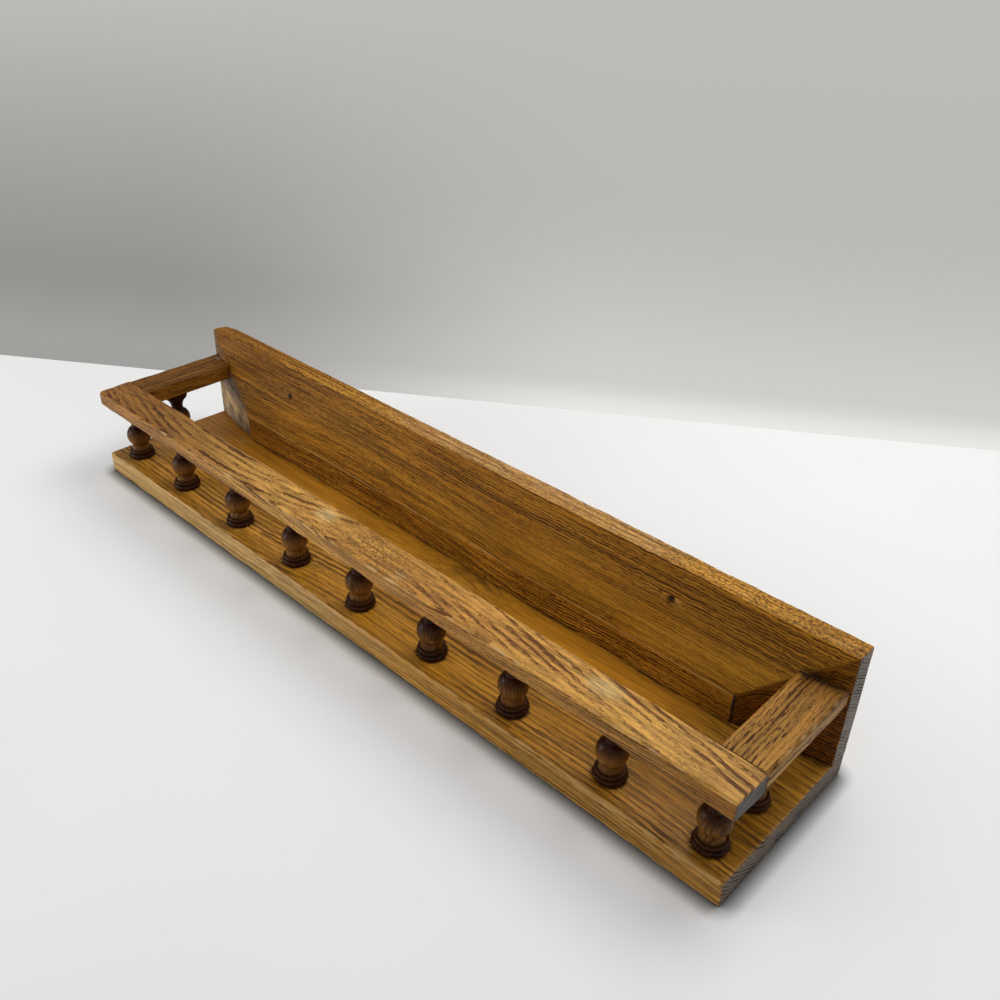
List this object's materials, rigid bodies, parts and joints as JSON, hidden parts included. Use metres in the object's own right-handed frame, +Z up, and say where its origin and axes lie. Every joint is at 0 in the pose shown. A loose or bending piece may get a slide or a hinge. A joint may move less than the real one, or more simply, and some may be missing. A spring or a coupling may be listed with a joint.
{
  "type": "wall plate rack",
  "caption": "Oak wall shelf for plates: a flat shelf board, a raised-panel back board with wall screw holes, and a gallery rail carried on turned spindles.",
  "frame": {"origin": "under the middle of the shelf, on its underside", "axes": "+X along the shelf to the right seen from the front, +Y back to the wall, +Z up"},
  "size_m": [0.655, 0.136, 0.1035],
  "materials": {
    "board_oak": "satin varnish over plain-sawn oak, golden brown",
    "rail_oak": "satin varnish over plain-sawn oak, a little paler and more worn than the boards",
    "turned_wood": "darker turned hardwood under a glossier varnish",
    "dowel_beech": "plain beech, unfinished, glued in",
    "screw_steel": "zinc-plated, dulled"
  },
  "bodies": {
    "root": {"back_board": "board_oak", "shelf_board": "board_oak", "front_rail": "rail_oak", "left_side_rail": "rail_oak", "right_side_rail": "rail_oak", "spindle_front_1": "turned_wood", "spindle_front_2": "turned_wood", "spindle_front_3": "turned_wood", "spindle_front_4": "turned_wood", "spindle_front_5": "turned_wood", "spindle_front_6": "turned_wood", "spindle_front_7": "turned_wood", "spindle_front_8": "turned_wood", "spindle_front_9": "turned_wood", "spindle_left_side": "turned_wood", "spindle_right_side": "turned_wood", "rail_dowels": "dowel_beech", "shelf_screws": "screw_steel"}
  },
  "joints": []
}
